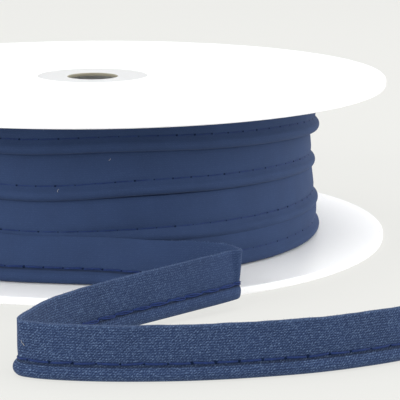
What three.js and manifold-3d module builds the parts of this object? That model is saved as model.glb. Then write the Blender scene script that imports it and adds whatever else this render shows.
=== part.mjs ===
// A white plastic reel wound with navy corded piping. The free end of the piping leaves the roll low
// at the front, runs out over the rim, folds back, and folds again to lie across the front.
// Millimetres, +Z up, seen from the front along +Y. Everything is built round the reel's axis, and
// the finished group is then moved so that the middle of its outline stands at the origin.
import * as THREE from "three";
import { mergeVertices } from "three/addons/utils/BufferGeometryUtils.js";
import Module from "manifold-3d";

// Reel
const REEL_RADIUS = 70;
const REEL_HEIGHT = 38.66;
const FLANGE_THICK = 1.73;
const FLANGE_EDGE = 0.3; // the rounding of the rim
const FLANGE_STEPS = 72;
const HUB_RADIUS = 13.3; // the sunk disc round the bore
const HUB_SINK = 0.3;
const HUB_THICK = 0.8;
const BORE_RADIUS = 5.95;
const BORE_LIP = 0.4;
const BARREL_WALL = 1.9;
const GAP = 0.3; // between pieces that touch

// Piping: a cord in a folded strip, sewn under the cord
const TRIM_HEIGHT = 10.3;
const BEAD_RADIUS = 1.35;
const CLOTH_HALF = 0.5; // half the flat part's thickness
const SEAM_HALF = 0.42; // half the thickness where the stitches pull it in
const SEAM_HEIGHT = 3.3;
const BEAD_STEPS = 6; // facets round the cord
const WINDING_STEP = 6; // degrees
const UNION_STEPS = 27; // steps of the winding joined to the roll at a time
const LOOSE_STEPS = 3; // steps from one row of the loose end's table to the next

// Roll
const BARREL_RADIUS = HUB_RADIUS + BARREL_WALL;
const FLOOR = FLANGE_THICK + GAP; // what stands on the lower flange
const CEILING = REEL_HEIGHT - FLOOR;
const CORE_RADIUS = 52;
const SUNK_RADIUS = 51; // how far the backs of the outer turns go in
const TURN_BACK = -2; // marks the corners at an outer turn's back
const LOWEST_TURN = 53.35; // where the cord of the turn beneath the last one lies
const LOOSE_FROM = 1010; // where the last turn comes free of the roll

// The winding goes down and counter-clockwise. at is degrees along it from the front, foot the
// height of the cord's underside, reach the cord's furthest side, lean how far the top tips inwards.
const WINDING = [
  { at: -255, foot: 36.2, reach: 54.3, lean: 5.5 },
  { at: -160, foot: 33.2, reach: 54.3, lean: 5.5 },
  { at: -80, foot: 30.2, reach: 54.4, lean: 5.5 },
  { at: -21, foot: 28.5, reach: 54.4, lean: 5.5 },
  { at: 6, foot: 29.2, reach: 54.4, lean: 5.5 },
  { at: 33, foot: 28.4, reach: 54.4, lean: 5.5 },
  { at: 54, foot: 27.6, reach: 54.4, lean: 5 },
  { at: 83, foot: 26.0, reach: 54.4, lean: 2.5 },
  { at: 180, foot: 23.4, reach: 54.2, lean: 5.5 },
  { at: 270, foot: 20.8, reach: 54.0, lean: 5.5 },
  { at: 343, foot: 18.4, reach: 54.0, lean: 5.5 },
  { at: 371, foot: 19.5, reach: 54.0, lean: 5 },
  { at: 395, foot: 19.2, reach: 53.9, lean: 5 },
  { at: 415, foot: 18.7, reach: 53.7, lean: 5 },
  { at: 443, foot: 17.4, reach: 53.5, lean: 4.5 },
  { at: 540, foot: 14.5, reach: 54.0, lean: 5.5 },
  { at: 640, foot: 10.9, reach: 54.3, lean: 5.5 },
  { at: 699, foot: 8.6, reach: 54.3, lean: 5.5 },
  { at: 735, foot: 9.0, reach: 54.3, lean: 5.5 },
  { at: 765, foot: 8.8, reach: 54.3, lean: 5.5 },
  { at: 803, foot: 8.2, reach: 54.3, lean: 6 },
  { at: 900, foot: 5.2, reach: 55.3, lean: 7 },
  { at: 970, foot: 2.9, reach: 57.0, lean: 7 },
  { at: LOOSE_FROM, foot: FLOOR, reach: 57.85, lean: 8 }
];

// The loose end, by where its cord's middle stands on the plan: lift is the height of the cord's
// underside, lean how far the top tips to the left of the way it runs.
const LOOSE_END = [
  { ...around(LOOSE_FROM + 0.4, 56.5), lift: FLOOR, lean: 8 },
  { ...around(1026, 57.1), lift: FLOOR, lean: 12 },
  { ...around(1044, 57.6), lift: FLOOR, lean: 17 },
  { ...around(1060, 57.75), lift: FLOOR, lean: 20 },
  { ...around(1072, 57.75), lift: FLOOR, lean: 20 },
  { x: 0.5, y: -58.9, lift: FLOOR, lean: 19 },
  { x: 7.6, y: -61.5, lift: FLOOR, lean: 18 },
  { x: 14.6, y: -63.5, lift: FLOOR, lean: 17 },
  { x: 21.4, y: -65.1, lift: FLOOR, lean: 15 },
  { x: 25.0, y: -66.7, lift: FLOOR, lean: 11 },
  { x: 27.5, y: -69.2, lift: FLOOR, lean: 6 },
  { x: 28.9, y: -71.4, lift: 1.95, lean: 4 },
  { x: 29.0, y: -72.4, lift: 1.92, lean: 4 },
  { x: 28.2, y: -73.3, lift: 1.88, lean: -4 },
  { x: 25.3, y: -75.6, lift: 1.7, lean: -4 },
  { x: 20.4, y: -79.0, lift: 1.4, lean: -4 },
  { x: 12.0, y: -84.5, lift: 0.85, lean: -4 },
  { x: 3.5, y: -90.1, lift: 0.3, lean: -3 },
  { x: -2.8, y: -95.8, lift: 0, lean: -2 },
  { x: -7.4, y: -101.6, lift: 0, lean: -2 },
  { x: -10.6, y: -107.2, lift: 0, lean: -1 },
  { x: -12.9, y: -112.4, lift: 0, lean: 0 },
  { x: -13.7, y: -115.3, lift: 0, lean: 0 },
  { x: -13.4, y: -117.1, lift: 0, lean: 0 },
  { x: -11.8, y: -118.3, lift: 0, lean: 0 },
  { x: -8.5, y: -119.6, lift: 0, lean: 0 },
  { x: -1.0, y: -121.2, lift: 0, lean: 0 },
  { x: 8.0, y: -122.0, lift: 0, lean: 0 },
  { x: 18.5, y: -121.9, lift: 0, lean: 0 },
  { x: 29.3, y: -120.6, lift: 0, lean: 0 },
  { x: 40.5, y: -118.2, lift: 0, lean: 0 },
  { x: 52.0, y: -113.9, lift: 0, lean: 0 },
  { x: 61.5, y: -109.0, lift: 0, lean: 0 }
];

const PLASTIC = new THREE.MeshStandardMaterial({ color: "#f2f2f0", roughness: 0.35, metalness: 0 });
const CLOTH = new THREE.MeshStandardMaterial({ color: "#36466e", roughness: 0.9, metalness: 0 });

const kernel = await Module();
kernel.setup();

// A point on the plan, at degrees round the roll from its front.
function around(degrees, radius) {
  const angle = THREE.MathUtils.degToRad(degrees - 90);
  return { x: radius * Math.cos(angle), y: radius * Math.sin(angle) };
}

function weld(geometry) {
  geometry.deleteAttribute("normal");
  geometry.deleteAttribute("uv");
  return mergeVertices(geometry, 1e-4);
}

function solid(geometry) {
  const vertProperties = Float32Array.from(geometry.attributes.position.array);
  const triVerts = Uint32Array.from(geometry.index.array);
  return new kernel.Manifold(new kernel.Mesh({ numProp: 3, vertProperties, triVerts }));
}

function surface(manifold) {
  const mesh = manifold.getMesh();
  const geometry = new THREE.BufferGeometry();
  geometry.setAttribute("position", new THREE.BufferAttribute(mesh.vertProperties, 3));
  geometry.setIndex(new THREE.BufferAttribute(mesh.triVerts, 1));
  return geometry;
}

// A ring turned from a closed outline of [radius, height] points, listed counter-clockwise.
function turned(outline, steps) {
  const points = [...outline, outline[0]].map(([radius, height]) => new THREE.Vector2(radius, height));
  return weld(new THREE.LatheGeometry(points, steps).rotateX(Math.PI / 2));
}

// A straight bar of the section, bent so that its every corner goes where place(step, out, up) says.
function swept(section, steps, place) {
  const shape = new THREE.Shape(section.map(([out, up]) => new THREE.Vector2(-out, up)));
  const bar = new THREE.ExtrudeGeometry(shape, { steps, depth: steps, bevelEnabled: false });
  const corners = bar.attributes.position;
  for (let i = 0; i < corners.count; i++) {
    const { x, y, z } = place(corners.getZ(i), -corners.getX(i), corners.getY(i));
    corners.setXYZ(i, x, y, z);
  }
  return weld(bar);
}

// The cord's outline from one angle to another, in degrees from straight out towards the top.
function beadArc(from, to, steps) {
  return Array.from({ length: steps + 1 }, (_, i) => {
    const angle = THREE.MathUtils.degToRad(from + ((to - from) * i) / steps);
    return [BEAD_RADIUS * Math.cos(angle), BEAD_RADIUS * (1 + Math.sin(angle))];
  });
}

// The place of a section's corner, for a strip that stands on foot with its needle side facing out.
function standing(foot, facing, lean, out, up) {
  const tip = THREE.MathUtils.degToRad(lean);
  const height = up - BEAD_RADIUS;
  const away = out * Math.cos(tip) - height * Math.sin(tip);
  return new THREE.Vector3(
    foot.x + facing.x * away,
    foot.y + facing.y * away,
    foot.z + BEAD_RADIUS + height * Math.cos(tip) + out * Math.sin(tip)
  );
}

function flange() {
  return [
    [BORE_RADIUS + BORE_LIP, HUB_SINK],
    [HUB_RADIUS, HUB_SINK],
    [HUB_RADIUS, 0],
    [REEL_RADIUS - FLANGE_EDGE, 0],
    [REEL_RADIUS, FLANGE_EDGE],
    [REEL_RADIUS, FLANGE_THICK - FLANGE_EDGE],
    [REEL_RADIUS - FLANGE_EDGE, FLANGE_THICK],
    [HUB_RADIUS - GAP, FLANGE_THICK],
    [HUB_RADIUS - GAP, HUB_SINK + HUB_THICK],
    [BORE_RADIUS, HUB_SINK + HUB_THICK],
    [BORE_RADIUS, HUB_SINK + BORE_LIP]
  ];
}

function barrel() {
  return [
    [HUB_RADIUS, FLOOR],
    [BARREL_RADIUS, FLOOR],
    [BARREL_RADIUS, CEILING],
    [HUB_RADIUS, CEILING]
  ];
}

// The inner turns as one mass, with the turn that stands lowest on the lower flange.
function innerTurns() {
  const bead = beadArc(-90, 50, BEAD_STEPS);
  return [
    [BARREL_RADIUS + GAP, FLOOR],
    ...bead.map(([out, up]) => [LOWEST_TURN + out, FLOOR + up]),
    [LOWEST_TURN + SEAM_HALF, FLOOR + SEAM_HEIGHT],
    [LOWEST_TURN + CLOTH_HALF, FLOOR + SEAM_HEIGHT + 1],
    [CORE_RADIUS, FLOOR + TRIM_HEIGHT],
    [CORE_RADIUS, CEILING],
    [BARREL_RADIUS + GAP, CEILING]
  ];
}

// One outer turn's section. Its back goes into the mass behind it, wherever the turn stands.
function outerTurn() {
  return [
    [TURN_BACK, -BEAD_RADIUS],
    ...beadArc(-100, 50, BEAD_STEPS),
    [SEAM_HALF, SEAM_HEIGHT],
    [CLOTH_HALF + 0.1, SEAM_HEIGHT + 1.6],
    [CLOTH_HALF, TRIM_HEIGHT],
    [TURN_BACK, TRIM_HEIGHT]
  ];
}

function woundTrim() {
  const track = new THREE.CubicInterpolant(
    WINDING.map(row => row.at),
    WINDING.flatMap(row => [row.foot, row.reach, row.lean]),
    3
  );
  const first = WINDING[0].at;
  const steps = (LOOSE_FROM - first) / WINDING_STEP;
  let roll = solid(turned(innerTurns(), 360 / WINDING_STEP));
  for (let start = 0; start < steps; start += UNION_STEPS) {
    const count = Math.ceil(Math.min(UNION_STEPS, steps - start));
    const place = (step, out, up) => {
      const at = Math.min(first + (start + step) * WINDING_STEP, LOOSE_FROM);
      const [foot, reach, lean] = track.evaluate(at);
      const facing = around(at, 1);
      const radius = reach - BEAD_RADIUS;
      const stand = { x: facing.x * radius, y: facing.y * radius, z: foot };
      const corner = standing(stand, facing, lean, out, up);
      return out === TURN_BACK ? corner.setX(facing.x * SUNK_RADIUS).setY(facing.y * SUNK_RADIUS) : corner;
    };
    roll = roll.add(solid(swept(outerTurn(), count, place)));
  }
  const room = [
    [BARREL_RADIUS, FLOOR],
    [REEL_RADIUS, FLOOR],
    [REEL_RADIUS, CEILING],
    [BARREL_RADIUS, CEILING]
  ];
  return surface(roll.intersect(solid(turned(room, FLANGE_STEPS))));
}

function looseTrim() {
  const section = [
    ...beadArc(-245, 65, BEAD_STEPS),
    [SEAM_HALF, SEAM_HEIGHT],
    [CLOTH_HALF, SEAM_HEIGHT + 1],
    [CLOTH_HALF, TRIM_HEIGHT],
    [-CLOTH_HALF, TRIM_HEIGHT],
    [-CLOTH_HALF, SEAM_HEIGHT + 1],
    [-SEAM_HALF, SEAM_HEIGHT]
  ];
  const rows = LOOSE_END.length - 1;
  const points = LOOSE_END.map(row => new THREE.Vector3(row.x, row.y, row.lift));
  const route = new THREE.CatmullRomCurve3(points, false, "centripetal");
  const place = (step, out, up) => {
    const row = Math.min(Math.floor(step / LOOSE_STEPS), rows - 1);
    const share = step / LOOSE_STEPS - row;
    const lean = THREE.MathUtils.lerp(LOOSE_END[row].lean, LOOSE_END[row + 1].lean, share);
    const foot = route.getPoint(step / LOOSE_STEPS / rows);
    foot.z = Math.max(foot.z, 0);
    const along = route.getTangent(step / LOOSE_STEPS / rows);
    const facing = new THREE.Vector2(along.y, -along.x).normalize();
    return standing(foot, facing, lean, out, up);
  };
  return swept(section, rows * LOOSE_STEPS, place);
}

const mirrored = outline => outline.map(([radius, height]) => [radius, REEL_HEIGHT - height]).reverse();

const pieces = [
  ["flange_bottom", turned(flange(), FLANGE_STEPS), PLASTIC],
  ["flange_top", turned(mirrored(flange()), FLANGE_STEPS), PLASTIC],
  ["barrel", turned(barrel(), FLANGE_STEPS / 2), PLASTIC],
  ["wound_trim", woundTrim(), CLOTH],
  ["loose_trim", looseTrim(), CLOTH]
];

const group = new THREE.Group();
for (const [name, geometry, material] of pieces) {
  const mesh = new THREE.Mesh(geometry, material.clone());
  mesh.name = name;
  geometry.computeVertexNormals();
  group.add(mesh);
}
const middle = new THREE.Box3().setFromObject(group).getCenter(new THREE.Vector3());
group.position.set(-middle.x, -middle.y, 0);

export default group;
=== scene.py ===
"""Dresses a reel of corded piping: flanges, wound roll, loose end, sewing, lint and a studio."""
import math
from functools import partial

import bmesh
import bpy
import numpy as np
from bpy.props import FloatProperty, FloatVectorProperty, IntProperty, PointerProperty
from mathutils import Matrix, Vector


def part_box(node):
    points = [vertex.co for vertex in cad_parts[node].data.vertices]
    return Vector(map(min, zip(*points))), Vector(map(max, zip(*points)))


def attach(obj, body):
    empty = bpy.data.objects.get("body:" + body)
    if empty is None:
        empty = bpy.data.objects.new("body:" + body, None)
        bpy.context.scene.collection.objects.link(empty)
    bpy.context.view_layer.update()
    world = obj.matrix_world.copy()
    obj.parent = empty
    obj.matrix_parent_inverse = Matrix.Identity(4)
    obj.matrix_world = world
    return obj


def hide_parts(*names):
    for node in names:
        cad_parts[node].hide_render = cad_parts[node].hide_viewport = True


bl_info = {
    "name": "Piping Reel",
    "version": (1, 0, 0),
    "blender": (4, 5, 0),
    "location": "3D View > Sidebar > Piping Reel",
    "description": "Makes a reel of corded piping round its packed model",
    "category": "Add Mesh",
}

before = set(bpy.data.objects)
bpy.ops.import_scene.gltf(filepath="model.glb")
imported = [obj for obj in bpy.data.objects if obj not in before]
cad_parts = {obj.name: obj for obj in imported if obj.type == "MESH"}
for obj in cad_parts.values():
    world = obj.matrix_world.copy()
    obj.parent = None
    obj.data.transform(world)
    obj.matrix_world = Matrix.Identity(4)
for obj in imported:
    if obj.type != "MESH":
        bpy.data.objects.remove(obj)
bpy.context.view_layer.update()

MM = 0.001
BODY = "root"
LOWER_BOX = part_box("flange_bottom")
UPPER_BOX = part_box("flange_top")
AXIS = (LOWER_BOX[0] + LOWER_BOX[1]) / 2
REEL_RADIUS = (LOWER_BOX[1].x - LOWER_BOX[0].x) / 2
REEL_HEIGHT = UPPER_BOX[1].z
FLANGE_THICK = LOWER_BOX[1].z
TOUCH = 0.05 * MM  # between cloth and plastic that touch
LEDGE = FLANGE_THICK + TOUCH  # what the cord stands on over the lower flange
ROOF = REEL_HEIGHT - LEDGE

# The winding goes down and counter-clockwise. Degrees along it from the front, the height of the
# cord's underside and the cord's furthest side in millimetres, and how far the top tips inwards.
WINDING = [
    (-255, 36.2, 54.3, 5.5),
    (-160, 33.2, 54.3, 5.5),
    (-80, 30.2, 54.4, 5.5),
    (-21, 28.5, 54.4, 5.5),
    (6, 29.2, 54.4, 5.5),
    (33, 28.4, 54.4, 5.5),
    (54, 27.6, 54.4, 5.0),
    (83, 26.0, 54.4, 2.5),
    (180, 23.4, 54.2, 5.5),
    (270, 20.8, 54.0, 5.5),
    (343, 18.4, 54.0, 5.5),
    (371, 19.5, 54.0, 5.0),
    (395, 19.2, 53.9, 5.0),
    (415, 18.7, 53.7, 5.0),
    (443, 17.4, 53.5, 4.5),
    (540, 14.5, 54.0, 5.5),
    (640, 10.9, 54.3, 5.5),
    (699, 8.6, 54.3, 5.5),
    (735, 9.0, 54.3, 5.5),
    (765, 8.8, 54.3, 5.5),
    (803, 8.2, 54.3, 6.0),
    (900, 5.2, 55.3, 7.0),
    (970, 2.9, 57.0, 7.0),
    (1010, LEDGE / MM, 57.85, 8.0),
]
LOOSE_FROM = 1010  # degrees, where the last turn comes free of the roll
# How far the winding's start goes in under the turns and its end behind the loose end, and in which degrees.
START_DIP, START_COMES_OUT = 2.6 * MM, (-252, -222)
END_DIP, END_GOES_IN = 0.5 * MM, (998, 1009)
LOWEST_TURN = 53.35 * MM  # where the cord of the turn beneath the last one lies
CORE_RADIUS = 52 * MM
SUNK_RADIUS = 51 * MM  # how far the backs of the outer turns go in
RING_STEP = 1.5  # degrees

# The strip's outer side above the cord, up to its cut edges: how far out and how far up, in millimetres.
RISING = np.array(
    [(0.6, 2.85), (0.44, 3.12), (0.4, 3.3), (0.44, 3.5), (0.54, 3.95), (0.6, 4.6)]
    + [(0.6, 5.6), (0.57, 7.2), (0.53, 8.8), (0.5, 10.1), (0.4, 10.3)]
)

# The loose end, by where its cord's middle stands round the reel's axis: x, y and the height of the
# cord's underside in millimetres, how far the top tips to the left, and how far it bows that way.
LOOSE_END = [
    (0.5, -58.9, LEDGE / MM, 21, 0.35),
    (7.6, -61.5, LEDGE / MM, 20, 0.3),
    (14.6, -63.5, LEDGE / MM, 19, 0.3),
    (21.4, -65.1, LEDGE / MM, 16, 0.2),
    (25.0, -66.7, 1.8, 12, 0.1),
    (27.5, -69.2, 1.85, 7, 0),
    (28.9, -71.4, 1.85, 4, 0),
    (29.0, -72.4, 1.85, 4, 0),
    (28.2, -73.3, 1.83, -4, 0),
    (25.3, -75.6, 1.68, -4, 0),
    (20.4, -79.0, 1.4, -4, 0),
    (12.0, -84.5, 0.85, -4, 0),
    (3.5, -90.1, 0.3, -3, 0),
    (-2.8, -95.8, 0, -2, 0),
    (-7.4, -101.6, 0, -2, 0),
    (-10.6, -107.2, 0, -1, 0),
    (-12.9, -112.4, 0, 0, 0),
    (-13.7, -115.3, 0, 0, 0),
    (-13.4, -117.1, 0, 0, 0),
    (-11.8, -118.3, 0, 0, 0),
    (-8.5, -119.6, 0, 0, 0),
    (-1.0, -121.2, 0, 0, 0),
    (8.0, -122.0, 0, 0, 0),
    (18.5, -121.9, 0, 0, 0),
    (29.3, -120.6, 0, 0, 0),
    (40.5, -118.2, 0, 0, 0),
    (52.0, -113.9, 0, 0, 0),
    (61.5, -109.0, 0, 0, 0),
]
# The same strip while it still follows the roll: degrees along the winding, radius, lean and bow.
LOOSE_START = [
    (996, 55.95, 7.5, 0),
    (1003, 56.25, 7.8, 0),
    (1011, 56.55, 8.5, 0),
    (1026, 57.1, 13, 0.1),
    (1044, 57.6, 19, 0.3),
    (1060, 57.75, 22, 0.4),
    (1072, 57.75, 22.5, 0.4),
]
BOW_HEIGHT = 7 * MM  # over the cord's middle, where a bow is measured
PAST_FIRST_FOLD = 98 * MM  # along the loose end, from where its cut edges stand clear of the roll
PRESSED_TO, OPEN_FROM = 95 * MM, 170 * MM  # along it, while its pressed cloth opens up

# How each strand of thread lies: its thickness as a share of the thread's, then in millimetres how far
# it rises, how deep it dives, how far up the cloth it swings, slants and strays, and last its seed.
STRANDS = {
    "roll_seam": {"thread": (0.6, 0.12, 0.16, 0, 0.05, 0.12, 5)},
    "lowest_seam": {"thread": (0.6, 0.12, 0.16, 0, 0.05, 0.12, 5)},
    "needle_seam": {"thread": (1.1, 0.36, 0.3, 0, 0.05, 0.3, 3)},
    "looper_seam": {
        "upper_strand": (0.8, 0.2, 0.02, 0.2, 0.26, 0.4, 4),
        "lower_strand": (0.8, 0.2, 0.02, -0.2, 0.26, 0.4, 6),
    },
}
SEAM_FACE = 0.4 * MM  # from the strip's middle to its outer side, along the seams of the roll
HOLE_DEPTH = 0.14 * MM
FIBRE_GAP = 0.35 * MM  # from one stray fibre at a cut edge to the next
FIBRE_RADIUS = 0.035 * MM
LINT_RADIUS = 0.024 * MM

# Lint: where each fibre starts and ends, round the reel's axis, and how far it curls, in millimetres.
LINT = [
    ((-7.45, -53.64, 21.5), (-7.75, -53.7, 20.8), 0.12),
    ((3.2, -52.72, 27.4), (3.6, -52.69, 27.75), 0.08),
    ((-13.35, -118.0, 6.9), (-12.75, -118.45, 6.0), 0.1),
]

# The camera in front of the reel's axis and above the paper, the degrees that it looks down and to the
# right, and its lens and sensor in millimetres.
CAMERA_BACK, CAMERA_HIGH = 429.2 * MM, 96.6 * MM
LOOKS_DOWN, LOOKS_RIGHT = 11.69, 3.44
LENS, SENSOR = 161.9, 36
PAPER_REACH = 3.0  # metres, from the middle of the paper to its sides


def linear(hex_colour):
    """The linear colour of an sRGB hex value such as "#36466e"."""
    channels = [int(hex_colour[i : i + 2], 16) / 255 for i in (1, 3, 5)]
    return [c / 12.92 if c <= 0.04045 else ((c + 0.055) / 1.055) ** 2.4 for c in channels]


def size_property(label, text, size):
    """A length that is given in millimetres."""
    return FloatProperty(name=label, description=text, default=size * MM, unit="LENGTH", precision=5)


def colour_property(label, text, hex_colour):
    return FloatVectorProperty(
        name=label, description=text, default=linear(hex_colour), subtype="COLOR", size=3, min=0, max=1
    )


def light_property(label, text, strength):
    return FloatProperty(name=label, description=text, default=strength, min=0)


class ReelSizes(bpy.types.PropertyGroup):
    rim_round: size_property("Rim rounding", "Rounding of the flanges' rims", 0.4)
    hub_radius: size_property("Hub radius", "Radius of the sunk disc round the bore", 13.3)
    hub_sink: size_property("Hub sink", "Depth of the sunk disc", 0.3)
    hub_thick: size_property("Hub thickness", "Thickness of the plate at the bore", 0.8)
    bore_radius: size_property("Bore radius", "Radius of the hole for a spindle", 5.95)
    bore_lip: size_property("Bore lip", "Rounding of the bore's outer edge", 0.35)
    steps: IntProperty(name="Steps", description="Steps round the reel", default=240, min=48, max=480)


class PipingSizes(bpy.types.PropertyGroup):
    height: size_property("Height", "From the cord's underside to the cut edges", 10.3)
    bead_radius: size_property("Bead radius", "Half the width of the covered cord", 1.35)
    ply: size_property("Ply", "Thickness of one layer of the cloth", 0.38)
    cloth_half: size_property("Half thickness", "Half the thickness of the two plies together", 0.43)
    seam_half: size_property("Half thickness at the seam", "Where the stitches pull the plies in", 0.34)
    seam_height: size_property("Seam height", "From the cord's underside to the stitches", 3.3)
    stitch: size_property("Stitch length", "From one needle hole to the next", 4.27)
    pucker: size_property("Pucker", "How far a stitch pulls the cloth in", 0.09)
    thread: size_property("Thread radius", "Half the thickness of the sewing thread", 0.2)
    hole: size_property("Needle hole", "Width of a needle hole in the loose end", 0.54)
    yarn: size_property("Yarn spacing", "From one yarn of the cloth to the next", 0.42)
    fibre: size_property("Stray fibre", "Length of the longest fibres at the cut edges", 0.5)


class PipingColours(bpy.types.PropertyGroup):
    yarn_shade: colour_property("Yarn in shade", "Navy between the yarns", "#192744")
    yarn_body: colour_property("Yarn", "Navy of the yarns", "#28395a")
    yarn_crest: colour_property("Yarn crest", "Navy where a yarn comes up", "#657a99")
    nap: colour_property("Nap", "Light that the cloth's nap gives back", "#9fb3dc")
    needle_thread: colour_property("Needle thread", "Thread on the needle side", "#182b58")
    looper_thread: colour_property("Looper thread", "Thread on the looper side", "#192e60")
    filler: colour_property("Filler cord", "Cotton of the cord inside", "#e8e2d2")
    plastic: colour_property("Plastic", "Moulded flanges", "#f9f9f8")
    # Painted shade: the bore is coloured a dark tan grey for the shade inside the hole.
    bore: colour_property("Bore", "Plastic that spindles have rubbed", "#8b8673")


class StudioSettings(bpy.types.PropertyGroup):
    sky: light_property("Sky", "Strength of the light from all round", 1.13)
    overhead: light_property("Overhead", "Power of the overhead softbox, in watts", 3.5)
    side: light_property("Sides", "Power of each side softbox, in watts", 3.9)
    glow: light_property("Paper glow", "Light that the paper gives by itself", 0.68)
    paper: colour_property("Paper", "Studio paper under the reel", "#636361")
    glow_tint: colour_property("Glow tint", "Colour of the light through the paper", "#fffffb")
    sky_tint: colour_property("Sky tint", "Colour of the light from all round", "#fbfcff")


def smooth_step(low, high, x):
    t = np.clip((x - low) / (high - low), 0, 1)
    return t * t * (3 - 2 * t)


def between(t, start, leaving, end, arriving):
    """The place at t on a smooth way from start to end, with the slopes that it leaves and arrives with."""
    return (
        (1 + 2 * t) * (1 - t) ** 2 * start
        + t * (1 - t) ** 2 * leaving
        + t * t * (3 - 2 * t) * end
        + t * t * (t - 1) * arriving
    )


def through(table, at):
    """Rows of a table at any place between its first column's values, on a smooth curve through them."""
    rows = np.array(table, float)
    knots, values = rows[:, 0], rows[:, 1:]
    slopes = np.gradient(values, axis=0) / np.gradient(knots)[:, None]
    i = np.clip(np.searchsorted(knots, at) - 1, 0, len(knots) - 2)
    span = (knots[i + 1] - knots[i])[:, None]
    t = (at - knots[i])[:, None] / span
    return between(t, values[i], span * slopes[i], values[i + 1], span * slopes[i + 1])


def ripple(s, wave, seed):
    """An uneven wave of height 1 at most along s, of about the given wavelength."""
    turns = 2 * math.pi * s / wave
    waves = ((0.5, 1, 1.7), (0.3, 1.83, 2.9), (0.2, 3.31, 0.6))
    return sum(height * np.sin(rate * turns + start * seed) for height, rate, start in waves)


def facing_at(degrees):
    """The ways out from the reel's axis at some degrees along the winding."""
    angle = np.radians(degrees - 90)
    return np.stack([np.cos(angle), np.sin(angle)], -1)


def run_lengths(points):
    """How far along a line each of its points is."""
    return np.concatenate([[0], np.cumsum(np.linalg.norm(np.diff(points, axis=0), axis=1))])


def stand(track, out, up, bead):
    """Places of a section's corners on a strip that stands on its feet, its needle side facing out."""
    feet, facing, lean, bow = track
    tip = np.radians(lean)[:, None]
    rise = up - bead
    out = out - MM * bow[:, None] * np.clip(rise / BOW_HEIGHT, 0, 2) ** 2
    away = out * np.cos(tip) - rise * np.sin(tip)
    high = feet[:, 2, None] + bead + rise * np.cos(tip) + out * np.sin(tip)
    level = feet[:, None, :2] + facing[:, None] * away[..., None]
    return np.concatenate([level, high[..., None]], -1)


def bead_arc(start, end, steps, radius, middle):
    """Points (out, up) on a circle whose middle is that high, from one angle to another."""
    angle = np.radians(np.linspace(start, end, steps + 1))
    return np.stack([radius * np.cos(angle), middle + radius * np.sin(angle)], -1)


def placed(name, data):
    """A new object of the scene, at the origin and unturned."""
    obj = bpy.data.objects.new(name, data)
    bpy.context.scene.collection.objects.link(obj)
    return obj


def mark_points(mesh, marks):
    """Gives a mesh's points their marks, a number or a vector each."""
    for name, values in marks.items():
        values = np.asarray(values, np.float32)
        kind, field = ("FLOAT", "value") if values.ndim == 1 else ("FLOAT_VECTOR", "vector")
        mesh.attributes.new(name, kind, "POINT").data.foreach_set(field, values.ravel())


def new_mesh(name, points, faces, material, marks, uv=None):
    """A smooth piece from points round the reel's axis. uv has one pair for each face corner."""
    mesh = bpy.data.meshes.new(name)
    mesh.from_pydata((points + [AXIS.x, AXIS.y, 0]).tolist(), [], faces)
    if uv is not None:
        mesh.uv_layers.new(name="Strip").uv.foreach_set("vector", np.asarray(uv, np.float32).ravel())
    mark_points(mesh, marks)
    mesh.materials.append(material)
    mesh.polygons.foreach_set("use_smooth", [True] * len(mesh.polygons))
    work = bmesh.new()
    work.from_mesh(mesh)
    if work.calc_volume(signed=True) < 0:
        bmesh.ops.reverse_faces(work, faces=work.faces)
        work.to_mesh(mesh)
    work.free()
    return placed(name, mesh)


def quads(stations, corners, closed):
    """The places (station, corner) round each face between a ring of corners and the next."""
    return [
        [(i, j), (i, j + 1), (i + 1, j + 1), (i + 1, j)]
        for i in range(stations if closed else stations - 1)
        for j in range(corners)
    ]


def sweep(name, rings, along, across, material, marks=None, closed=False):
    """A closed bar or ring from rings of section corners. along and across are the strip's own lengths."""
    stations, corners = rings.shape[:2]
    spots = quads(stations, corners, closed)
    faces = [[i % stations * corners + j % corners for i, j in quad] for quad in spots]
    uv = [(along[i], across[j]) for quad in spots for i, j in quad]
    if not closed:
        for end in (0, stations - 1):
            faces.append(range(end * corners, (end + 1) * corners))
            uv += [(along[end], a) for a in across[:corners]]
    spread = {}
    for mark, values in (marks or {}).items():
        spread[mark] = np.broadcast_to(values, (stations, corners)).ravel()
    return new_mesh(name, rings.reshape(-1, 3), faces, material, spread, np.array(uv) / MM)


def turned(name, outline, steps, material, marks):
    """A ring turned round the reel's axis from a closed outline of (radius, height) points."""
    radius, height = np.array(outline).T
    corners = len(outline)
    angle = np.linspace(0, 2 * math.pi, steps, endpoint=False)[:, None]
    rings = np.stack([radius * np.cos(angle), radius * np.sin(angle), np.tile(height, (steps, 1))], -1)
    faces = [[i % steps * corners + j % corners for i, j in quad] for quad in quads(steps, corners, True)]
    around = {mark: np.tile(values, steps) for mark, values in marks.items()}
    return new_mesh(name, rings.reshape(-1, 3), faces, material, around)


def keep(piece, slot, *nodes):
    """Fastens a finished piece to the reel and hides the solids that it stands for. Its slot is not used."""
    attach(piece, BODY)
    if nodes:
        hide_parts(*nodes)
    return piece


def add_node(tree, kind, inputs=None, **settings):
    """Adds a node with its settings. An input takes a value, an output, or a node's first output in use."""
    made = tree.nodes.new(kind)
    for key, value in settings.items():
        setattr(made, key, value)
    for key, source in (inputs or {}).items():
        if isinstance(source, bpy.types.Node):
            source = next(output for output in source.outputs if output.enabled)
        if isinstance(source, bpy.types.NodeSocket):
            tree.links.new(source, made.inputs[key])
        else:
            made.inputs[key].default_value = source
    return made


def opaque(colour, share=1):
    """A colour for a shader's socket, at a share of its strength."""
    return (*(c * share for c in colour), 1)


def finish(name, build, *values):
    """The material of that name. build adds its patterns with a function that adds nodes to its tree, and
    gives the inputs of its shader."""
    material = bpy.data.materials.get(name)
    if material is None:
        material = bpy.data.materials.new(name)
        material.use_nodes = True
        tree = material.node_tree
        tree.nodes.clear()
        shader = add_node(tree, "ShaderNodeBsdfPrincipled", build(partial(add_node, tree), *values))
        add_node(tree, "ShaderNodeOutputMaterial", {"Surface": shader})
    return material


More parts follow.
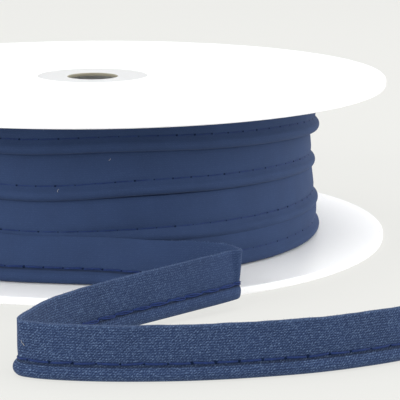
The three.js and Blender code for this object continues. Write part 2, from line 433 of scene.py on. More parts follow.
def moulded_polystyrene(node, colours):
    """Injection-moulded white polystyrene: nearly white, a soft gloss, and a skin with faint flow and
    scuffs. The sunk disc round the bore is left matt and coloured a darker grey, and the bore itself
    is painted a dark tan grey as the shade inside the hole."""
    flow_width, grain_width = 22.22 * MM, 0.7143 * MM
    place = node("ShaderNodeTexCoord").outputs["Object"]
    flow = node("ShaderNodeTexNoise", {"Vector": place, "Scale": 1 / flow_width, "Detail": 3.0})
    grain = node("ShaderNodeTexNoise", {"Vector": place, "Scale": 1 / grain_width, "Detail": 2.0})
    disc = node("ShaderNodeAttribute", attribute_name="disc").outputs["Fac"]
    bore = node("ShaderNodeAttribute", attribute_name="bore").outputs["Fac"]
    colour = opaque(colours.plastic, 0.975)
    for factor, next_colour in (
        (flow, opaque(colours.plastic)),
        # The sunk disc is coloured at 0.58 of the plastic's strength.
        (disc, opaque(colours.plastic, 0.58)),
        # Painted shade: the bore is coloured a dark tan grey for the shade inside the hole.
        (bore, opaque(colours.bore)),
    ):
        mixed = {"Factor": factor, "A": colour, "B": next_colour}
        colour = node("ShaderNodeMix", mixed, data_type="RGBA")
    scuff = node(
        "ShaderNodeMapRange",
        {"Value": grain, "From Min": 0.3, "From Max": 0.75, "To Min": 0.27, "To Max": 0.42},
    )
    dulled = node("ShaderNodeMath", {0: disc, 1: 0.3, 2: scuff}, operation="MULTIPLY_ADD")
    bump = node("ShaderNodeBump", {"Height": grain, "Strength": 0.12, "Distance": 0.03 * MM})
    return {
        "Base Color": colour,
        "Roughness": dulled,
        "Normal": bump,
        "IOR": 1.59,
        "Subsurface Weight": 0.6,
        "Subsurface Radius": (1.0, 1.0, 1.0),
        "Subsurface Scale": 1.2 * MM,
    }


def bias_poplin(node, colours):
    """Navy cotton and polyester poplin cut on the bias: yarns cross at 45 degrees to the strip, so that
    matt blue-grey flecks stand over dark gaps. Smooth where it is wound tight, and fuzzier where it is
    loose. The yarns are drawn about twice as coarse as they are, so that they show."""
    row_gap, wander_width, dye_width = 0.48, 1.1111, 8.3333  # millimetres, as the strip's own lengths are
    per_yarn = MM / bpy.context.scene.piping_sizes.yarn
    strip = node("ShaderNodeUVMap", uv_map="Strip")
    nap, cut, crease = (
        node("ShaderNodeAttribute", attribute_name=mark).outputs["Fac"]
        for mark in ("nap", "cut_edge", "seam_crease")
    )
    wander = node("ShaderNodeTexNoise", {"Vector": strip, "Scale": 1 / wander_width, "Detail": 2.0})
    drift = node(
        "ShaderNodeVectorMath",
        {0: wander.outputs["Color"], 1: (0.5, 0.5, 0.0), 2: strip},
        operation="MULTIPLY_ADD",
    )
    bias = node(
        "ShaderNodeMapping",
        {"Vector": drift, "Rotation": (0.0, 0.0, math.radians(45)), "Scale": (per_yarn, per_yarn, 1.0)},
    )
    # Every float of a yarn over another catches the light in its own way.
    floats = node("ShaderNodeVectorMath", {0: bias, 1: (2.4, 3.2, 1.0)}, operation="MULTIPLY")
    crossing = node("ShaderNodeVectorMath", {0: floats}, operation="FLOOR")
    fleck = node("ShaderNodeTexWhiteNoise", {"Vector": crossing}, noise_dimensions="2D")
    glint = node("ShaderNodeMath", {0: fleck, 1: 3.5}, operation="POWER")
    # Ridges run along the yarns, and in rows along the strip.
    ridges = []
    for place, turn in ((bias, 2 * math.pi), (drift, 2 * math.pi / row_gap)):
        height = node("ShaderNodeSeparateXYZ", {"Vector": place}).outputs["Y"]
        turns = node("ShaderNodeMath", {0: height, 1: turn}, operation="MULTIPLY")
        ridges.append(node("ShaderNodeMath", {0: turns}, operation="COSINE"))
    ridged = node("ShaderNodeMath", {0: ridges[0], 1: ridges[1]}, operation="ADD")
    ribbed = node("ShaderNodeMath", {0: ridged, 1: 0.26, 2: glint}, operation="MULTIPLY_ADD")
    crest = node("ShaderNodeMath", {0: ribbed, 1: 0.28}, operation="SUBTRACT")
    shown = node("ShaderNodeMapRange", {"Value": nap, "To Min": 0.05, "To Max": 0.52})
    level = node("ShaderNodeMath", {0: crest, 1: shown, 2: 0.35}, operation="MULTIPLY_ADD")
    yarn = node("ShaderNodeValToRGB", {"Fac": level})
    yarn.color_ramp.elements[0].color = opaque(colours.yarn_shade)
    yarn.color_ramp.elements[1].color = opaque(colours.yarn_crest)
    yarn.color_ramp.elements.new(0.35).color = opaque(colours.yarn_body)
    dye = node("ShaderNodeTexNoise", {"Vector": strip, "Scale": 1 / dye_width, "Detail": 2.0})
    fade = node(
        "ShaderNodeMapRange",
        {"Value": dye, "From Min": 0.3, "From Max": 0.7, "To Min": 0.94, "To Max": 1.06},
    )
    dyed = node("ShaderNodeVectorMath", {"Vector": yarn, "Scale": fade}, operation="SCALE")
    frayed = node("ShaderNodeMath", {0: cut, 1: fleck}, operation="MULTIPLY")
    fray = {"Factor": frayed, "A": dyed, "B": opaque(colours.yarn_crest)}
    edged = node("ShaderNodeMix", fray, data_type="RGBA")
    # Painted shade: the cloth's colour is darkened along the line under the thread, where the plies turn
    # round the cord.
    dim = node("ShaderNodeMath", {0: crease, 1: -0.62, 2: 1.0}, operation="MULTIPLY_ADD")
    creased = node("ShaderNodeVectorMath", {"Vector": edged, "Scale": dim}, operation="SCALE")
    depth = node("ShaderNodeMath", {0: shown, 1: 0.5}, operation="MULTIPLY")
    bump = node("ShaderNodeBump", {"Height": crest, "Strength": depth, "Distance": 0.05 * MM})
    return {
        "Base Color": creased,
        "Normal": bump,
        "Roughness": 0.85,
        "Specular IOR Level": 0.2,
        "Sheen Weight": 0.1,
        "Sheen Roughness": 0.5,
        "Sheen Tint": opaque(colours.nap),
    }


def spun_thread(node, colour, sheen):
    """Spun polyester sewing thread: saturated blue, matt, with the light and dark of its plies."""
    ply_width = 0.4545 * MM
    place = node("ShaderNodeTexCoord").outputs["Object"]
    plies = node("ShaderNodeTexNoise", {"Vector": place, "Scale": 1 / ply_width, "Detail": 2.0})
    mixed = {"Factor": plies, "A": opaque(colour, 0.5), "B": opaque(colour, 1.6)}
    return {
        "Base Color": node("ShaderNodeMix", mixed, data_type="RGBA"),
        "Normal": node("ShaderNodeBump", {"Height": plies, "Strength": 0.4, "Distance": 0.04 * MM}),
        "Roughness": 0.6,
        "Specular IOR Level": 0.2 * sheen,
    }


def filler_cotton(node, colour):
    """Undyed cotton filler cord: off-white, matt, with fine fibres that run along each strand."""
    strip = node("ShaderNodeUVMap", uv_map="Strip")
    drawn = node("ShaderNodeVectorMath", {0: strip, 1: (1.5, 9.0, 1.0)}, operation="MULTIPLY")
    fibres = node("ShaderNodeTexNoise", {"Vector": drawn, "Scale": 1.0})
    mixed = {"Factor": fibres, "A": opaque(colour, 0.6), "B": opaque(colour)}
    return {
        "Base Color": node("ShaderNodeMix", mixed, data_type="RGBA"),
        "Normal": node("ShaderNodeBump", {"Height": fibres, "Strength": 0.5, "Distance": 0.05 * MM}),
        "Roughness": 0.9,
        "Specular IOR Level": 0.2,
    }


def studio_paper(node, settings):
    """Matt seamless studio paper, lit from beneath too: pale warm grey with a fine tooth."""
    tooth_width = 1.111 * MM
    place = node("ShaderNodeTexCoord").outputs["Object"]
    tooth = node("ShaderNodeTexNoise", {"Vector": place, "Scale": 1 / tooth_width, "Detail": 2.0})
    mixed = {"Factor": tooth, "A": opaque(settings.paper, 0.99), "B": opaque(settings.paper)}
    return {
        "Base Color": node("ShaderNodeMix", mixed, data_type="RGBA"),
        "Roughness": 0.95,
        "Specular IOR Level": 0.1,
        "Emission Color": opaque(settings.glow_tint),
        "Emission Strength": settings.glow,
    }


def flange_outline(sizes):
    """The lower flange's section, from the bore outwards along its underside and back along its top."""
    bore, lip, hub, rim = sizes.bore_radius, sizes.bore_lip, sizes.hub_radius, sizes.rim_round
    under, over = sizes.hub_sink, sizes.hub_sink + sizes.hub_thick
    corner, step = 0.15 * MM, 0.3 * MM
    quarter = np.radians(range(0, 91, 15))
    disc = [(bore + lip, under), (hub - corner, under)]
    disc_edge = [(hub, under - corner), (hub, corner), (hub + corner, 0)]
    side = REEL_RADIUS - rim
    foot = [(side + rim * math.sin(a), rim - rim * math.cos(a)) for a in quarter]
    head = [(side + rim * math.cos(a), FLANGE_THICK - rim + rim * math.sin(a)) for a in quarter]
    inside = [(hub - step, FLANGE_THICK), (hub - step, over), (bore, over)]
    mouth = [
        (bore + lip - lip * math.cos(a), under + lip - lip * math.sin(a))
        for a in np.radians(range(0, 90, 12))
    ]
    return disc + disc_edge + foot + head + inside + mouth


class PIPING_OT_flanges(bpy.types.Operator):
    """Make both flanges and finish the barrel"""

    bl_idname = "piping.flanges"
    bl_label = "Flanges"

    def execute(self, context):
        sizes = context.scene.reel_sizes
        plastic = finish("moulded_white_polystyrene", moulded_polystyrene, context.scene.piping_colours)
        outline = flange_outline(sizes)
        mirrored = [(radius, REEL_HEIGHT - height) for radius, height in reversed(outline)]
        for name, node, section in (
            ("lower_flange", "flange_bottom", outline),
            ("upper_flange", "flange_top", mirrored),
        ):
            radius = np.array(section)[:, 0]
            marks = {
                "disc": radius < sizes.hub_radius,
                # Painted shade: the plastic at the bore's mouth is coloured dark tan grey for the shade
                # inside the hole.
                "bore": radius < sizes.bore_radius + sizes.bore_lip / 2,
            }
            flange = turned(name, section, sizes.steps, plastic, marks)
            flange.data.set_sharp_from_angle(angle=math.radians(40))
            keep(flange, "reel_plastic", node)
        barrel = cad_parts["barrel"]
        barrel.data.materials.clear()
        barrel.data.materials.append(plastic)
        return {"FINISHED"}


def stitch_count(length, sizes):
    return round(length / sizes.stitch)


def pucker_at(up, along, sizes):
    """How far the stitches pull the cloth in, deepest at the needle holes."""
    reach = 0.9 * MM
    stitch = along[-1] / stitch_count(along[-1], sizes)
    near = np.exp(-(((up - sizes.seam_height) / reach) ** 2))
    return sizes.pucker * near * (0.5 + 0.5 * np.cos(2 * math.pi * along / stitch))[:, None]


def winding_track(at):
    """Feet, facing, lean and bow of the winding at some degrees along it."""
    foot, reach, lean = through(WINDING, at).T
    facing = facing_at(at)
    radius = reach * MM - bpy.context.scene.piping_sizes.bead_radius
    return np.column_stack([facing * radius[:, None], foot * MM]), facing, lean, np.zeros(len(at))


def lowest_track():
    """Feet, facing, lean and bow of the turn beneath the last one."""
    facing = facing_at(np.arange(0, 360.1, RING_STEP))
    level = np.zeros(len(facing))
    return np.column_stack([facing * LOWEST_TURN, level + LEDGE]), facing, level, level


def loose_rows():
    """The loose end's table with its start on the roll, all as x, y, lift, lean and bow."""
    rows = []
    for at, radius, lean, bow in LOOSE_START:
        x, y = facing_at(at) * radius
        foot = max(through(WINDING, np.array([min(at, LOOSE_FROM)]))[0, 0], LEDGE / MM)
        rows.append((x, y, foot, lean, bow))
    return np.array(rows + LOOSE_END, float)


def curve_through(points, steps):
    """A centripetal curve through points, with its own number of steps from each point to the next."""
    ends = [2 * points[0] - points[1], *points, 2 * points[-1] - points[-2]]
    line, rows = [], []
    for i, count in enumerate(steps):
        p0, p1, p2, p3 = ends[i : i + 4]
        d0, d1, d2 = (np.linalg.norm(b - a) ** 0.5 for a, b in ((p0, p1), (p1, p2), (p2, p3)))
        leaving = d1 * ((p1 - p0) / d0 - (p2 - p0) / (d0 + d1) + (p2 - p1) / d1)
        arriving = d1 * ((p2 - p1) / d1 - (p3 - p1) / (d1 + d2) + (p3 - p2) / d2)
        last = i == len(steps) - 1
        t = np.linspace(0, 1, count + 1)[: None if last else -1, None]
        line.append(between(t, p1, leaving, p2, arriving))
        rows.append(i + t[:, 0])
    return np.concatenate(line), np.concatenate(rows)


def loose_track():
    """The loose end's feet, facing, lean and bow, the length along it, and how sharply it bends."""
    rows = loose_rows()
    points = rows[:, :3] * MM
    gaps = np.linalg.norm(np.diff(points, axis=0), axis=1)
    spacing, reach = 0.45 * MM, 0.7 * MM
    steps = [int(np.clip(round(gap / spacing), 8, 40)) for gap in gaps]
    feet, place = curve_through(points, steps)
    feet[:, 2] = np.maximum(feet[:, 2], TOUCH)
    lean, bow = through(np.column_stack([np.arange(len(rows)), rows[:, 3:]]), place).T
    along = run_lengths(feet)
    direction = np.gradient(feet[:, :2], along, axis=0)
    heading = np.unwrap(np.arctan2(direction[:, 1], direction[:, 0]))
    facing = np.stack([np.sin(heading), -np.cos(heading)], -1)
    bend = np.gradient(heading, along)
    softened = [np.average(bend, weights=np.exp(-(((along - s) / reach) ** 2))) for s in along]
    return (feet, facing, lean, bow), along, np.array(softened)


def squeezed(out, bend):
    """Pulls a section in where the strip is creased: against its own bend inside, and flat outside."""
    tight = np.abs(bend)[:, None]
    crease = smooth_step(0.2 / MM, 0.7 / MM, tight)
    inner = 0.75 / np.maximum(tight, 1)
    outer = 0.95 * MM / np.maximum(crease, 0.02)
    limit = np.where(out * np.sign(-bend)[:, None] > 0, inner, outer)
    return limit * np.tanh(out / limit)


def roofed(ring):
    """Ends a turn's section under the upper flange, where it would reach higher."""
    over = np.flatnonzero(ring[:, 2] > ROOF)
    if len(over):
        first = over[0]
        below, above = ring[first - 1], ring[first]
        edge = below + (above - below) * (ROOF - below[2]) / (above[2] - below[2])
        back = np.append(ring[-1, :2], ROOF)
        ring[first:] = edge + (back - edge) * np.linspace(0, 1, len(ring) - first)[:, None]


class PIPING_OT_roll(bpy.types.Operator):
    """Make the wound roll: its outer turns as one winding strip, and the turns beneath as a ring"""

    bl_idname = "piping.roll"
    bl_label = "Wound roll"

    def execute(self, context):
        sizes = context.scene.piping_sizes
        cloth = finish("navy_bias_poplin", bias_poplin, context.scene.piping_colours)
        keep(self.outer_turns(sizes, cloth), "trim_cloth", "wound_trim")
        keep(self.inner_turns(sizes, cloth), "trim_cloth", "wound_trim")
        return {"FINISHED"}

    @staticmethod
    def outer_turns(sizes, cloth):
        bead = sizes.bead_radius
        at = np.arange(WINDING[0][0], LOOSE_FROM + 0.01, 1.0)
        track = winding_track(at)
        feet, facing = track[:2]
        feet[:, :2] -= facing * (START_DIP * (1 - smooth_step(*START_COMES_OUT, at)))[:, None]
        feet[:, :2] -= facing * (END_DIP * smooth_step(*END_GOES_IN, at))[:, None]
        along = run_lengths(feet)
        front = np.concatenate([bead_arc(-100, 48, 14, bead, bead), RISING * MM])
        out = np.tile(front[:, 0], (len(at), 1))
        up = np.tile(front[:, 1], (len(at), 1))
        out = out - pucker_at(up, along, sizes)
        out += 0.05 * MM * ripple(along, 31 * MM, 2)[:, None] * (up > sizes.seam_height)
        shown = stand(track, out, up, bead)
        back = facing[:, None] * SUNK_RADIUS
        low = np.concatenate([back, shown[:, :1, 2:]], -1)
        high = np.concatenate([back, shown[:, -1:, 2:]], -1)
        rings = np.concatenate([low, shown, high], 1)
        rings[..., 2] = np.maximum(rings[..., 2], LEDGE)
        for ring in rings:
            roofed(ring)
        across = np.concatenate([[-3 * MM], run_lengths(front), [13 * MM, 16 * MM]])
        return sweep("wound_turns", rings, along, across, cloth, {"nap": 0.0})

    @staticmethod
    def inner_turns(sizes, cloth):
        """The turns beneath, with the strip's coordinates on them, so that the weave follows them round."""
        bead = sizes.bead_radius
        wall = np.concatenate([bead_arc(-90, 48, 14, bead, bead), RISING[:8] * MM]) + [LOWEST_TURN, LEDGE]
        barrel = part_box("barrel")[1].x - AXIS.x + TOUCH
        shoulder = [(CORE_RADIUS, LEDGE + sizes.height), (CORE_RADIUS, ROOF), (barrel, ROOF)]
        section = np.array([(barrel, LEDGE), *wall, *shoulder])
        facing = facing_at(np.arange(0, 360, RING_STEP))
        heights = np.tile(section[:, 1:], (len(facing), 1, 1))
        rings = np.concatenate([facing[:, None] * section[:, :1], heights], -1)
        along = np.arange(len(facing) + 1) * np.radians(RING_STEP) * LOWEST_TURN
        across = run_lengths(np.vstack([section, section[:1]]))
        return sweep("inner_turns", rings, along, across, cloth, {"nap": 0.0}, closed=True)


def folded_section(sizes):
    """The folded strip's section: outside from the needle side's cut edge round the cord to the other
    cut edge, and back along the inside. Each corner is (out, up), with 1 at the cut edges."""
    half, seam, top = sizes.cloth_half / MM, sizes.seam_height / MM, sizes.height / MM
    bead, ply, pinch = sizes.bead_radius / MM, sizes.ply / MM, sizes.seam_half / MM
    side = [
        (half - 0.06, top),
        (half, top - 0.12),
        (half, top - 0.6),
        (half, 8.2),
        (half + 0.02, 6.4),
        (half + 0.02, 5.0),
        (half - 0.01, 4.3),
        (pinch + 0.04, 3.75),
        (pinch + 0.01, seam + 0.15),
        (pinch, seam),
        (pinch + 0.02, seam - 0.18),
        (pinch + 0.12, seam - 0.42),
    ]
    outside = [*side, *bead_arc(58, -238, 22, bead, bead), *((-x, y) for x, y in reversed(side))]
    inner = [(0.03, top - 0.02), (0.03, 7.5), (0.03, 4.5), (0.015, seam), (0.02, bead * 2 - 0.25)]
    hollow = bead_arc(84, -264, 16, bead - ply, bead)
    inside = [*inner, *hollow, *((-x, y) for x, y in reversed(inner))]
    section = np.array(outside + inside[::-1]) * MM
    cut = smooth_step(sizes.height - 0.25 * MM, sizes.height - 0.05 * MM, section[:, 1])
    return section, cut


def cotton_strand(name, spine, side, away, radius, corners, along):
    """A round strand of undyed cotton along a spine, from the two ways across it."""
    angle = np.linspace(0, 2 * math.pi, corners, endpoint=False)[:, None]
    rings = spine[:, None] + radius * (side * np.cos(angle) + away * np.sin(angle))
    across = np.linspace(0, 2 * math.pi * radius, corners + 1)
    cotton = finish("undyed_cotton_filler", filler_cotton, bpy.context.scene.piping_colours.filler)
    return keep(sweep(name, rings, along, across, cotton), "trim_cloth")


class PIPING_OT_loose_end(bpy.types.Operator):
    """Make the loose end: one folded strip of two plies, and the filler cord that shows at its cut end"""

    bl_idname = "piping.loose_end"
    bl_label = "Loose end"

    def execute(self, context):
        sizes = context.scene.piping_sizes
        track, along, bend = loose_track()
        section, cut = folded_section(sizes)
        out = np.tile(section[:, 0], (len(along), 1))
        up = np.tile(section[:, 1], (len(along), 1))
        is_outside = np.abs(out) > 0.2 * MM
        out -= np.sign(out) * pucker_at(up, along, sizes) * is_outside
        upper = np.clip((up - sizes.seam_height) / (sizes.height - sizes.seam_height), 0, 1)
        out += 0.12 * MM * upper * ripple(along, 37 * MM, 3)[:, None]
        up = up + 0.07 * MM * upper * ripple(along, 13 * MM, 5)[:, None]
        rings = stand(track, squeezed(out, bend), up, sizes.bead_radius)
        across = run_lengths(np.vstack([section, section[:1]]))
        cloth = finish("navy_bias_poplin", bias_poplin, context.scene.piping_colours)
        # The cloth is still pressed smooth near the roll, and opens up along the loose end.
        nap = smooth_step(PRESSED_TO, OPEN_FROM, along)[:, None]
        # The shade under the thread, where the plies turn round the cord.
        shade = np.abs(section[:, 1] - sizes.seam_height + 0.42 * MM) / (0.24 * MM)
        marks = {"cut_edge": cut * (0.2 * nap), "nap": nap, "seam_crease": np.clip(1 - shade, 0, 1)}
        strip = sweep("loose_strip", rings, along, across, cloth, marks)
        keep(strip, "trim_cloth", "loose_trim")
        self.filler(track[0], track[1], along, sizes)
        return {"FINISHED"}

    @staticmethod
    def filler(feet, facing, along, sizes):
        """The cord of three strands that shows at the strip's cut end, a little proud of it."""
        shown, proud, pitch = 7 * MM, 0.4 * MM, 5 * MM
        near = along > along[-1] - shown
        spine = feet[near] + [0, 0, sizes.bead_radius]
        onward = (spine[-1] - spine[-2]) / np.linalg.norm(spine[-1] - spine[-2])
        spine = np.vstack([spine, spine[-1] + proud * onward])
        side = np.pad(facing[near], ((0, 1), (0, 1)), "edge")
        side[:, 2] = 0
        above = np.array([0, 0, 1.0])
        run = run_lengths(spine)
        room = sizes.bead_radius - sizes.ply - 0.03 * MM
        thick = room / (1 + 2 / math.sqrt(3))
        for strand in range(3):
            turn = (2 * math.pi * (run / pitch + strand / 3))[:, None]
            middle = spine + (room - thick) * (side * np.cos(turn) + above * np.sin(turn))
            cotton_strand(f"filler_strand_{strand + 1}", middle, side[:, None], above, thick, 14, run)


def seam_line(track, out, height, bead):
    """A line of edges along a seam, with the ways out of the cloth and up it on its points."""
    spots = stand(track, out[:, None], np.full((len(out), 1), height), bead)[:, 0]
    facing, tip = track[1], np.radians(track[2])
    outward = np.sign(out)[:, None] * np.column_stack([facing * np.cos(tip)[:, None], np.sin(tip)])
    upward = np.column_stack([-facing * np.sin(tip)[:, None], np.cos(tip)])
    mesh = bpy.data.meshes.new("seam")
    edges = [(i, i + 1) for i in range(len(spots) - 1)]
    mesh.from_pydata((spots + [AXIS.x, AXIS.y, 0]).tolist(), edges, [])
    mark_points(mesh, {"outward": outward, "upward": upward})
    return placed("seam", mesh), run_lengths(spots)[-1]


def tree_of(build, values):
    """The geometry tree of build, with an input for each value. build makes pieces along a line, from the
    tree's inputs, the line as a curve, and the ways out of the cloth and up it."""
    tree = bpy.data.node_groups.get(build.__name__)
    if tree is not None:
        return tree
    tree = bpy.data.node_groups.new(build.__name__, "GeometryNodeTree")
    tree.interface.new_socket("Geometry", in_out="INPUT", socket_type="NodeSocketGeometry")
    for label, value in values.items():
        kind = "Int" if isinstance(value, int) else "Float" if isinstance(value, float) else "Material"
        tree.interface.new_socket(label, in_out="INPUT", socket_type="NodeSocket" + kind)
    tree.interface.new_socket("Geometry", in_out="OUTPUT", socket_type="NodeSocketGeometry")
    node = partial(add_node, tree)
    source = node("NodeGroupInput").outputs
    line = node("GeometryNodeMeshToCurve", {"Mesh": source["Geometry"]})
    outward, upward = (
        node("GeometryNodeInputNamedAttribute", {"Name": way}, data_type="FLOAT_VECTOR")
        for way in ("outward", "upward")
    )
    real = node("GeometryNodeRealizeInstances", {"Geometry": build(node, source, line, outward, upward)})
    smooth = node("GeometryNodeSetShadeSmooth", {"Geometry": real})
    painted = node("GeometryNodeSetMaterial", {"Geometry": smooth, "Material": source["Material"]})
    node("NodeGroupOutput", {"Geometry": painted})
    return tree


def sewn_thread(node, source, line, outward, upward):
    """A thread that runs along the line, comes up between the needle holes and dives at each."""
    fine = node("GeometryNodeResampleCurve", {"Curve": line, "Count": source["Points"]}, mode="COUNT")
    share = node("GeometryNodeSplineParameter")
    count = node("ShaderNodeMath", {0: share, 1: source["Stitches"]}, operation="MULTIPLY")
    part = node("ShaderNodeMath", {0: count}, operation="FRACT")
    half_turn = node("ShaderNodeMath", {0: part, 1: math.pi}, operation="MULTIPLY")
    hump = node("ShaderNodeMath", {0: half_turn}, operation="SINE")
    arch = node("ShaderNodeMath", {0: hump, 1: 0.45}, operation="POWER")
    lifted = node("ShaderNodeMath", {0: arch, 1: source["Lift"]}, operation="MULTIPLY")
    height = node("ShaderNodeMath", {0: lifted, 1: source["Sink"]}, operation="SUBTRACT")
    # Each stitch slants across the seam by its own amount.
    whole = node("ShaderNodeMath", {0: count}, operation="FLOOR")
    stitch = node("FunctionNodeFloatToInt", {0: whole})
    chance = node(
        "FunctionNodeRandomValue",
        {2: -1.0, 3: 1.0, "ID": stitch, "Seed": source["Seed"]},
        data_type="FLOAT",
    )
    stray = node("ShaderNodeMath", {0: chance, 1: source["Unevenness"]}, operation="MULTIPLY")
    slant = node("ShaderNodeMath", {0: source["Slant"], 1: stray}, operation="ADD")
    middle = node("ShaderNodeMath", {0: part, 1: 0.5}, operation="SUBTRACT")
    slanted = node("ShaderNodeMath", {0: middle, 1: slant}, operation="MULTIPLY")
    swing = {0: hump, 1: source["Spread"], 2: slanted}
    spread = node("ShaderNodeMath", swing, operation="MULTIPLY_ADD")
    lift = node("ShaderNodeVectorMath", {"Vector": outward, "Scale": height}, operation="SCALE")
    shift = node("ShaderNodeVectorMath", {"Vector": upward, "Scale": spread}, operation="SCALE")
    offset = node("ShaderNodeVectorMath", {0: lift, 1: shift}, operation="ADD")
    moved = node("GeometryNodeSetPosition", {"Geometry": fine, "Offset": offset})
    section = node("GeometryNodeCurvePrimitiveCircle", {"Resolution": 7, "Radius": source["Radius"]})
    tube = {"Curve": moved, "Profile Curve": section, "Fill Caps": True}
    return node("GeometryNodeCurveToMesh", tube)


def strewn(node, source, line, piece, rotation, smallest, largest):
    """Copies of a piece at even steps along the line, each of its own size."""
    spots = node("GeometryNodeCurveToPoints", {"Curve": line, "Count": source["Count"]}, mode="COUNT")
    chance = {2: smallest, 3: largest, "Seed": source["Seed"]}
    size = node("FunctionNodeRandomValue", chance, data_type="FLOAT")
    copies = {"Points": spots, "Instance": piece, "Rotation": rotation, "Scale": size}
    return node("GeometryNodeInstanceOnPoints", copies)


def needle_holes(node, source, line, outward, upward):
    """Needle holes along the line: a dark dimple of painted shade lies flat on the cloth at each end of every
    stitch.
    """
    across = node("FunctionNodeAlignRotationToVector", {"Vector": outward}, axis="Z")
    turned_up = node(
        "FunctionNodeAlignRotationToVector",
        {"Rotation": across, "Vector": upward},
        axis="Y",
        pivot_axis="Z",
    )
    ball = node("GeometryNodeMeshUVSphere", {"Segments": 10, "Rings": 6, "Radius": 0.5})
    shape = {"X": source["Length"], "Y": source["Width"], "Z": source["Depth"]}
    size = node("ShaderNodeCombineXYZ", shape)
    flat = node("GeometryNodeTransform", {"Geometry": ball, "Scale": size})
    return strewn(node, source, line, flat, turned_up, 0.55, 1.2)


def stray_fibres(node, source, line, outward, upward):
    """Short stray fibres that stand up all along a cut edge, each its own way and length."""
    chance = {0: (-1.0, -1.0, -1.0), 1: (1.0, 1.0, 1.0), "Seed": source["Seed"]}
    astray = node("FunctionNodeRandomValue", chance, data_type="FLOAT_VECTOR")
    scatter = {"Vector": astray, "Scale": source["Scatter"]}
    bent = node("ShaderNodeVectorMath", scatter, operation="SCALE")
    way = node("ShaderNodeVectorMath", {0: upward, 1: bent}, operation="ADD")
    turned_out = node("FunctionNodeAlignRotationToVector", {"Vector": way}, axis="Z")
    shape = {"Vertices": 4, "Radius Bottom": source["Radius"], "Depth": source["Length"]}
    fibre = node("GeometryNodeMeshCone", shape)
    return strewn(node, source, line, fibre, turned_out, 0.3, 1.0)


def grown(name, line, build, values):
    """The plain mesh that a tree makes along a line."""
    tree = tree_of(build, values)
    modifier = line.modifiers.new("rows", "NODES")
    modifier.node_group = tree
    for item in tree.interface.items_tree:
        if item.in_out == "INPUT" and item.name in values:
            modifier[item.identifier] = values[item.name]
    line.update_tag()
    graph = bpy.context.evaluated_depsgraph_get()
    mesh = bpy.data.meshes.new_from_object(line.evaluated_get(graph), depsgraph=graph)
    line.modifiers.remove(modifier)
    mesh.name = name
    return placed(name, mesh)


def sew(row, track, out, sizes, thread, pit, hole):
    """Sews one row along its track: its strands of thread, and its needle holes."""
    line, length = seam_line(track, out, sizes.seam_height, sizes.bead_radius)
    stitches = stitch_count(length, sizes)
    for strand, (thickness, *lie, seed) in STRANDS[row].items():
        values = {
            "Stitches": stitches,
            "Points": stitches * 12 + 1,
            "Radius": sizes.thread * thickness,
            "Seed": seed,
            "Material": thread,
        }
        for way, size in zip(("Lift", "Sink", "Spread", "Slant", "Unevenness"), lie):
            values[way] = size * MM
        keep(grown(f"{row}_{strand}", line, sewn_thread, values), "stitch_thread")
    values = {
        "Count": stitches + 1,
        "Length": hole * 1.25,
        "Width": hole,
        "Depth": HOLE_DEPTH,
        "Seed": 8,
        "Material": pit,
    }
    keep(grown(f"{row}_holes", line, needle_holes, values), "stitch_thread")
    bpy.data.objects.remove(line)


class PIPING_OT_sewing(bpy.types.Operator):
    """Sew the needle side's stitches on the roll and the loose end, and the looper side's on the loose end"""

    bl_idname = "piping.sewing"
    bl_label = "Sewing"

    def execute(self, context):
        sizes = context.scene.piping_sizes
        colours = context.scene.piping_colours
        needle = finish("navy_needle_thread", spun_thread, colours.needle_thread, 1)
        looper = finish("blue_looper_thread", spun_thread, colours.looper_thread, 1)
        fluff = finish("frayed_cut_edge", spun_thread, colours.yarn_crest, 0)
        # Painted shade: the needle holes are dark dimples, coloured darker than the shade between the yarns.
        pit = finish("needle_hole_shade", spun_thread, [c * 0.6 for c in colours.yarn_shade], 0)

        winding = winding_track(np.arange(WINDING[0][0] + 45, LOOSE_FROM - 8, 1.0))
        for row, track in (("roll_seam", winding), ("lowest_seam", lowest_track())):
            out = np.full(len(track[0]), SEAM_FACE)
            sew(row, track, out, sizes, needle, pit, sizes.hole * 2 / 3)

        track, along, bend = loose_track()
        free = along > PAST_FIRST_FOLD
        freed = [part[free] for part in track]
        for side, name, thread in ((1, "needle", needle), (-1, "looper", looper)):
            face, edge = (
                squeezed(np.full((len(along), 1), side * half), bend)[:, 0]
                for half in (sizes.seam_half + 0.02 * MM, 0.6 * sizes.cloth_half)
            )
            sew(f"{name}_seam", track, face, sizes, thread, pit, sizes.hole)
            line, length = seam_line(freed, edge[free], sizes.height - 0.1 * MM, sizes.bead_radius)
            values = {
                "Count": int(length / FIBRE_GAP),
                "Length": sizes.fibre,
                "Radius": FIBRE_RADIUS,
                "Scatter": 1.1,
                "Seed": 20 + side,
                "Material": fluff,
            }
            keep(grown(f"{name}_edge_fibres", line, stray_fibres, values), "trim_cloth")
            bpy.data.objects.remove(line)
        return {"FINISHED"}


class PIPING_OT_lint(bpy.types.Operator):
    """Lay the few pale fibres of lint that cling to the cloth"""

    bl_idname = "piping.lint"
    bl_label = "Lint"

    def execute(self, context):
        share = np.linspace(0, 1, 9)[:, None]
        for number, (start, end, curl) in enumerate(LINT, 1):
            start, end = np.array(start) * MM, np.array(end) * MM
            onward = (end - start) / np.linalg.norm(end - start)
            side = np.cross(onward, [0, -1, 0])
            side /= np.linalg.norm(side)
            away = np.cross(side, onward)
            spine = start + (end - start) * share + curl * MM * np.sin(3.4 * share) * side
            cotton_strand(f"lint_{number}", spine, side, away, LINT_RADIUS, 6, run_lengths(spine))
        return {"FINISHED"}


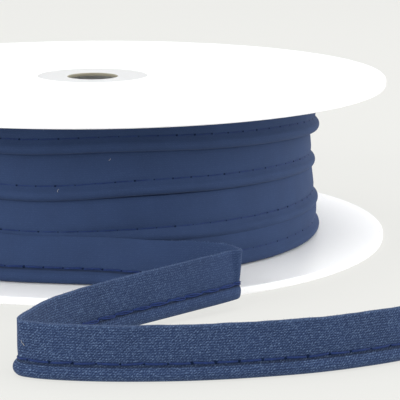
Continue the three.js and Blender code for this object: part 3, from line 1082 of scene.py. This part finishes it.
class PIPING_OT_studio(bpy.types.Operator):
    """Set the paper, the soft lights and the camera"""

    bl_idname = "piping.studio"
    bl_label = "Studio"

    def execute(self, context):
        scene = context.scene
        settings = scene.studio_settings
        mesh = bpy.data.meshes.new("paper")
        corners = [(x * PAPER_REACH, y * PAPER_REACH, 0) for x, y in ((-1, -1), (1, -1), (1, 1), (-1, 1))]
        mesh.from_pydata(corners, [], [(0, 1, 2, 3)])
        mesh.materials.append(finish("seamless_studio_paper", studio_paper, settings))
        placed("paper", mesh)

        scene.world = bpy.data.worlds.new("light_tent")
        scene.world.use_nodes = True
        tree = scene.world.node_tree
        sky = tree.nodes["Background"]
        sky.inputs["Color"].default_value = opaque(settings.sky_tint)
        # The tent's walls are brighter than its roof, so that light comes in under the upper flange.
        way = add_node(tree, "ShaderNodeTexCoord").outputs["Generated"]
        height = add_node(tree, "ShaderNodeSeparateXYZ", {"Vector": way}).outputs["Z"]
        tent = {"Value": height, "From Max": 0.8, "To Min": settings.sky * 1.3, "To Max": settings.sky * 0.6}
        wall = add_node(tree, "ShaderNodeMapRange", tent)
        tree.links.new(wall.outputs["Result"], sky.inputs["Strength"])

        middle = Vector((AXIS.x, AXIS.y, REEL_HEIGHT / 2))
        for name, place, size, power in (
            ("overhead_softbox", Vector((0.05, 0.1, 0.9)), 0.9, settings.overhead),
            ("left_softbox", Vector((-0.62, -0.5, 0.3)), 0.6, settings.side),
            ("right_softbox", Vector((0.8, -0.1, 0.25)), 0.6, settings.side),
        ):
            lamp = bpy.data.lights.new(name, "AREA")
            lamp.shape = "SQUARE"
            lamp.size = size
            lamp.energy = power
            light = placed(name, lamp)
            light.location = middle + place
            light.rotation_euler = (-place).to_track_quat("-Z", "Y").to_euler()

        lens = bpy.data.cameras.new("camera")
        lens.sensor_width = SENSOR
        lens.lens = LENS
        lens.clip_start = 0.01
        camera = placed("camera", lens)
        camera.location = (AXIS.x, AXIS.y - CAMERA_BACK, CAMERA_HIGH)
        camera.rotation_euler = (math.radians(90 - LOOKS_DOWN), 0, math.radians(-LOOKS_RIGHT))
        scene.camera = camera
        scene.view_settings.view_transform = "Standard"
        scene.view_settings.look = "None"
        return {"FINISHED"}


class PIPING_PT_panel(bpy.types.Panel):
    """Sizes and colours of the reel of piping"""

    bl_label = "Piping Reel"
    bl_space_type = "VIEW_3D"
    bl_region_type = "UI"
    bl_category = "Piping Reel"

    def draw(self, context):
        for group in GROUPS:
            box = self.layout.box()
            for name in GROUPS[group].__annotations__:
                box.prop(getattr(context.scene, group), name)
        for operator in OPERATORS:
            self.layout.operator(operator.bl_idname)


GROUPS = {
    "reel_sizes": ReelSizes,
    "piping_sizes": PipingSizes,
    "piping_colours": PipingColours,
    "studio_settings": StudioSettings,
}
OPERATORS = [
    PIPING_OT_studio,
    PIPING_OT_flanges,
    PIPING_OT_roll,
    PIPING_OT_loose_end,
    PIPING_OT_sewing,
    PIPING_OT_lint,
]


def register():
    for made in (*GROUPS.values(), *OPERATORS, PIPING_PT_panel):
        bpy.utils.register_class(made)
    for name, group in GROUPS.items():
        setattr(bpy.types.Scene, name, PointerProperty(type=group))


def unregister():
    for name in GROUPS:
        delattr(bpy.types.Scene, name)
    for made in (PIPING_PT_panel, *OPERATORS, *GROUPS.values()):
        bpy.utils.unregister_class(made)


def main():
    register()
    bpy.ops.piping.studio()
    bpy.ops.piping.flanges()
    bpy.ops.piping.roll()
    bpy.ops.piping.loose_end()
    bpy.ops.piping.sewing()
    bpy.ops.piping.lint()


if __name__ == "__main__":
    main()
